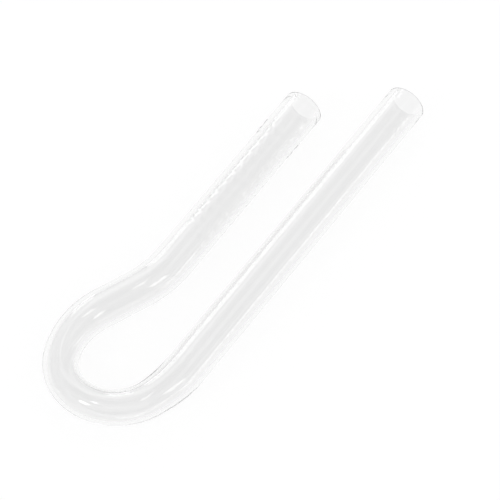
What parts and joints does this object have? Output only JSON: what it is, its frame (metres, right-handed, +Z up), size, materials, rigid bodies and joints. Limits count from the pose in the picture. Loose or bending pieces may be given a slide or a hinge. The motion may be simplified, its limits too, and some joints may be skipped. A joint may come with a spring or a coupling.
{
  "type": "bent glass airlock tube",
  "caption": "Clear glass fermentation airlock tube with a long leg, a narrowed U-bend, a small offset bend and a shorter stem with rolled grip grooves; both ends open.",
  "frame": {"origin": "under the middle of the tube's box, on the surface the tube lies on", "axes": "+X along both legs towards the open ends, +Y from the long leg to the stem, +Z up from the surface the tube lies on"},
  "size_m": [0.1234, 0.0378, 0.01],
  "materials": {
    "clear_glass": "clear colourless glass, smooth and glossy"
  },
  "bodies": {
    "root": {"long_leg_rim": "clear_glass", "long_leg": "clear_glass", "bend_entry": "clear_glass", "u_bend_inlet": "clear_glass", "u_bend_crown": "clear_glass", "u_bend_outlet": "clear_glass", "bend_exit": "clear_glass", "bend_link": "clear_glass", "offset_bend": "clear_glass", "stem_shoulder": "clear_glass", "ribbed_grip": "clear_glass", "stem_tip": "clear_glass", "stem_rim": "clear_glass"}
  },
  "joints": []
}
